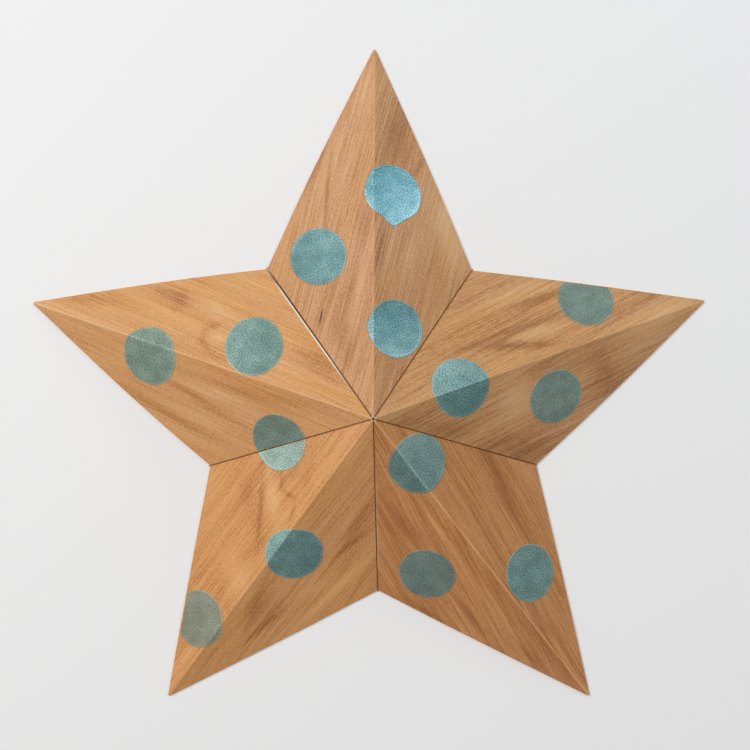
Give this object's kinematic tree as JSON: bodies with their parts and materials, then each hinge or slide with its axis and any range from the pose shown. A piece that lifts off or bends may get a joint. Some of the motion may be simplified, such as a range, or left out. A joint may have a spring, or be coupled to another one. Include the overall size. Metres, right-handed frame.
{
  "type": "folded relief star",
  "caption": "Pointed relief star of thin wood veneer, each point folded along its ridge and glued at tabs to its neighbours, with dabbed round dots and an open back.",
  "frame": {"origin": "on the wall plane, under the peak of the star", "axes": "+Z out of the wall, from the open back to the peak; +Y to the tip of the top point; +X to the right as seen from the front"},
  "size_m": [0.2176, 0.2107, 0.0278],
  "materials": {
    "veneer": "satin wood veneer with a paper backing",
    "dot_paint": "metallic craft paint"
  },
  "bodies": {
    "root": {"top_point": "veneer", "right_point": "veneer", "lower_right_point": "veneer", "lower_left_point": "veneer", "left_point": "veneer", "top_dots": "dot_paint", "right_dots": "dot_paint", "lower_right_dots": "dot_paint", "lower_left_dots": "dot_paint", "left_dots": "dot_paint"}
  },
  "joints": []
}
